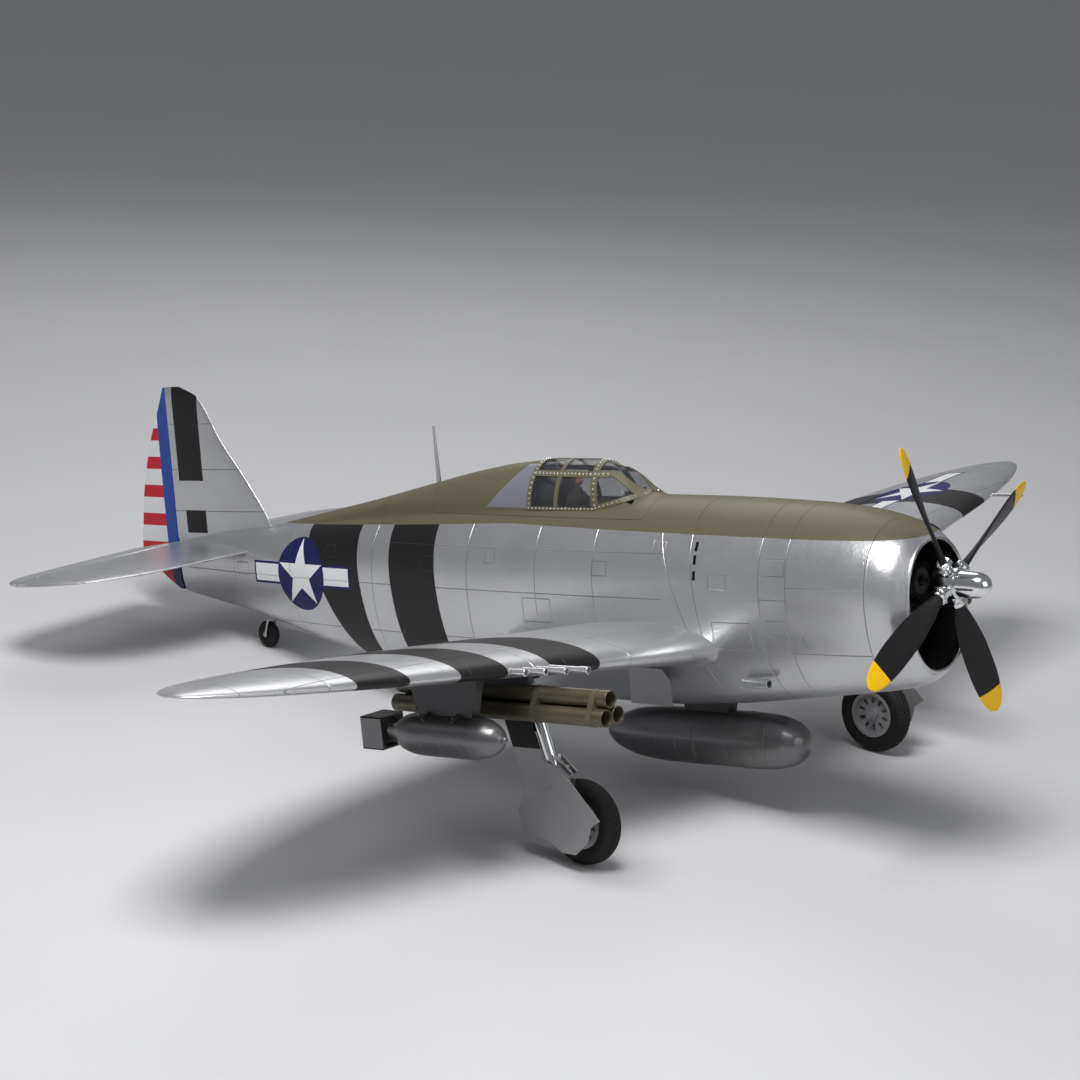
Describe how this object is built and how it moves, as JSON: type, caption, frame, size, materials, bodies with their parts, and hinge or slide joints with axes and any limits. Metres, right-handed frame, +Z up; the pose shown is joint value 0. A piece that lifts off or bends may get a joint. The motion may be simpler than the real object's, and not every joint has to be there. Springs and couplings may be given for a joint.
{
  "type": "radio controlled warbird plane",
  "caption": "Radio-controlled foam model of a radial-engined razorback fighter with folding landing gear, four-blade propeller, lift-off hatch and underwing stores.",
  "frame": {"origin": "on the floor, under the middle of the whole model's box, standing on its three wheels", "axes": "+X towards the nose, +Y to the port wing tip, +Z up from the floor"},
  "size_m": [1.318, 1.5, 0.4786],
  "materials": {
    "battery_wrap": "gloss",
    "black_plastic": "satin",
    "chrome_parts": "polished",
    "clear_canopy": "gloss",
    "grey_plastic": "satin",
    "grey_sheet": "satin",
    "motor_metal": "satin",
    "olive_foam": "matte",
    "olive_tube": "satin",
    "pilot_paint": "matte",
    "silver_foam": "satin",
    "steel_parts": "satin",
    "store_grey": "satin",
    "tyre_rubber": "matte"
  },
  "bodies": {
    "airframe": {"fuselage_shell": "silver_foam", "fin": "silver_foam", "tailplane": "silver_foam", "left_wing": "silver_foam", "right_wing": "silver_foam", "spar_tube": "motor_metal", "cowl_ring": "silver_foam", "cowl_shell": "silver_foam", "dummy_engine": "black_plastic", "motor_mount": "black_plastic", "motor_stator": "motor_metal", "speed_controller": "black_plastic", "battery_pack": "battery_wrap", "receiver": "black_plastic", "wing_servos": "black_plastic", "tail_servos": "black_plastic", "antenna_mast": "grey_plastic", "gun_barrels": "steel_parts", "store_pylons": "silver_foam", "wing_bombs": "store_grey", "rocket_tubes": "olive_tube", "drop_tank": "store_grey", "pitot_tube": "steel_parts", "retract_units": "black_plastic", "outlet_pipes": "silver_foam"},
    "hatch": {"hatch_shell": "olive_foam", "canopy_frame": "olive_foam", "canopy_glass": "clear_canopy", "pilot_figure": "pilot_paint", "cockpit_floor": "black_plastic"},
    "propeller": {"propeller_blades": "black_plastic", "propeller_hub": "chrome_parts", "motor_bell": "motor_metal"},
    "aileron_left": {"left_aileron": "silver_foam"},
    "aileron_right": {"right_aileron": "silver_foam"},
    "flap_left": {"left_flap": "silver_foam"},
    "flap_right": {"right_flap": "silver_foam"},
    "elevator": {"elevators": "silver_foam", "elevator_joiner": "steel_parts"},
    "rudder": {"rudder": "silver_foam"},
    "tail_fork": {"tail_strut": "steel_parts"},
    "tail_roller": {"tail_wheel": "tyre_rubber"},
    "leg_left": {"left_leg_upper": "chrome_parts", "left_leg_door": "grey_sheet"},
    "oleo_left": {"left_leg_lower": "chrome_parts", "left_wheel_door": "grey_sheet"},
    "wheel_left": {"left_wheel_hub": "grey_plastic", "left_tyre": "tyre_rubber"},
    "upper_link_left": {"left_upper_link": "chrome_parts"},
    "lower_link_left": {"left_lower_link": "chrome_parts"},
    "inner_door_left": {"left_inner_door": "grey_sheet"},
    "leg_right": {"right_leg_upper": "chrome_parts", "right_leg_door": "grey_sheet"},
    "oleo_right": {"right_leg_lower": "chrome_parts", "right_wheel_door": "grey_sheet"},
    "wheel_right": {"right_wheel_hub": "grey_plastic", "right_tyre": "tyre_rubber"},
    "upper_link_right": {"right_upper_link": "chrome_parts"},
    "lower_link_right": {"right_lower_link": "chrome_parts"},
    "inner_door_right": {"right_inner_door": "grey_sheet"}
  },
  "joints": [
    {"name": "hatch_lift", "type": "slide", "parent": "airframe", "child": "hatch", "axis": [-0.1928, 0, 0.9812], "range_m": [0, 0.09]},
    {"name": "prop_spin", "type": "hinge", "parent": "airframe", "child": "propeller", "pos_m": [0.60859, 0, 0.32202], "axis": [0.9887, 0, 0.1498], "continuous": true},
    {"name": "aileron_left", "type": "hinge", "parent": "airframe", "child": "aileron_left", "pos_m": [0.12941, 0.432, 0.20371], "axis": [0.1567, 0.9763, 0.1495], "range_deg": [-20, 20]},
    {"name": "aileron_right", "type": "hinge", "parent": "airframe", "child": "aileron_right", "pos_m": [0.12941, -0.432, 0.20371], "axis": [-0.1567, 0.9763, -0.1495], "range_deg": [-20, 20]},
    {"name": "flap_left", "type": "hinge", "parent": "airframe", "child": "flap_left", "pos_m": [0.12364, 0.096, 0.16047], "axis": [-0.018, -0.9916, -0.1279], "range_deg": [0, 40]},
    {"name": "flap_right", "type": "hinge", "parent": "airframe", "child": "flap_right", "pos_m": [0.12364, -0.096, 0.16047], "axis": [0.018, -0.9916, 0.1279], "range_deg": [0, 40]},
    {"name": "elevator", "type": "hinge", "parent": "airframe", "child": "elevator", "pos_m": [-0.56356, 0, 0.105], "axis": [0, 1, 0], "range_deg": [-20, 20]},
    {"name": "rudder", "type": "hinge", "parent": "airframe", "child": "rudder", "pos_m": [-0.57871, 0, 0.08877], "axis": [-0.1928, 0, 0.9812], "range_deg": [-25, 25]},
    {"name": "tail_steer", "type": "hinge", "parent": "airframe", "child": "tail_fork", "pos_m": [-0.40715, 0, 0.01954], "axis": [-0.1928, 0, 0.9812], "range_deg": [-25, 25]},
    {"name": "tail_roll", "type": "hinge", "parent": "tail_fork", "child": "tail_roller", "pos_m": [-0.415, 0, 0.018], "axis": [0, 1, 0], "continuous": true},
    {"name": "retract_left", "type": "hinge", "parent": "airframe", "child": "leg_left", "pos_m": [0.27477, 0.295, 0.19733], "axis": [-0.8948, 0, -0.4464], "range_deg": [0, 78]},
    {"name": "oleo_left", "type": "slide", "parent": "leg_left", "child": "oleo_left", "axis": [-0.4464, 0, 0.8948], "range_m": [0, 0.008], "stiffness_N_per_m": 2500, "springref_m": -0.012},
    {"name": "upper_link_left", "type": "hinge", "parent": "leg_left", "child": "upper_link_left", "pos_m": [0.32523, 0.295, 0.11969], "axis": [0, 1, 0], "range_deg": [-15, 0]},
    {"name": "lower_link_left", "type": "hinge", "parent": "oleo_left", "child": "lower_link_left", "pos_m": [0.34309, 0.295, 0.0839], "axis": [0, 1, 0], "range_deg": [0, 15]},
    {"name": "wheel_left", "type": "hinge", "parent": "oleo_left", "child": "wheel_left", "pos_m": [0.34977, 0.274, 0.047], "axis": [0, 1, 0], "continuous": true},
    {"name": "inner_door_left", "type": "hinge", "parent": "airframe", "child": "inner_door_left", "pos_m": [0.30202, 0.079, 0.16549], "axis": [0.9812, 0, 0.1928], "range_deg": [0, 84]},
    {"name": "retract_right", "type": "hinge", "parent": "airframe", "child": "leg_right", "pos_m": [0.27477, -0.295, 0.19733], "axis": [0.8948, 0, 0.4464], "range_deg": [0, 78]},
    {"name": "oleo_right", "type": "slide", "parent": "leg_right", "child": "oleo_right", "axis": [-0.4464, 0, 0.8948], "range_m": [0, 0.008], "stiffness_N_per_m": 2500, "springref_m": -0.012},
    {"name": "upper_link_right", "type": "hinge", "parent": "leg_right", "child": "upper_link_right", "pos_m": [0.32523, -0.295, 0.11969], "axis": [0, 1, 0], "range_deg": [-15, 0]},
    {"name": "lower_link_right", "type": "hinge", "parent": "oleo_right", "child": "lower_link_right", "pos_m": [0.34309, -0.295, 0.0839], "axis": [0, 1, 0], "range_deg": [0, 15]},
    {"name": "wheel_right", "type": "hinge", "parent": "oleo_right", "child": "wheel_right", "pos_m": [0.34977, -0.274, 0.047], "axis": [0, 1, 0], "continuous": true},
    {"name": "inner_door_right", "type": "hinge", "parent": "airframe", "child": "inner_door_right", "pos_m": [0.30202, -0.079, 0.16549], "axis": [-0.9812, 0, -0.1928], "range_deg": [0, 84]}
  ],
  "couplings": [
    {"joint": "aileron_right", "follows": "aileron_left", "ratio": -1},
    {"joint": "flap_right", "follows": "flap_left", "ratio": 1},
    {"joint": "tail_steer", "follows": "rudder", "ratio": 1},
    {"joint": "upper_link_left", "follows": "oleo_left", "rad_per_m": -31.9},
    {"joint": "lower_link_left", "follows": "oleo_left", "rad_per_m": 31.9},
    {"joint": "upper_link_right", "follows": "oleo_right", "rad_per_m": -31.9},
    {"joint": "lower_link_right", "follows": "oleo_right", "rad_per_m": 31.9},
    {"joint": "retract_right", "follows": "retract_left", "ratio": 1},
    {"joint": "inner_door_right", "follows": "inner_door_left", "ratio": 1}
  ]
}
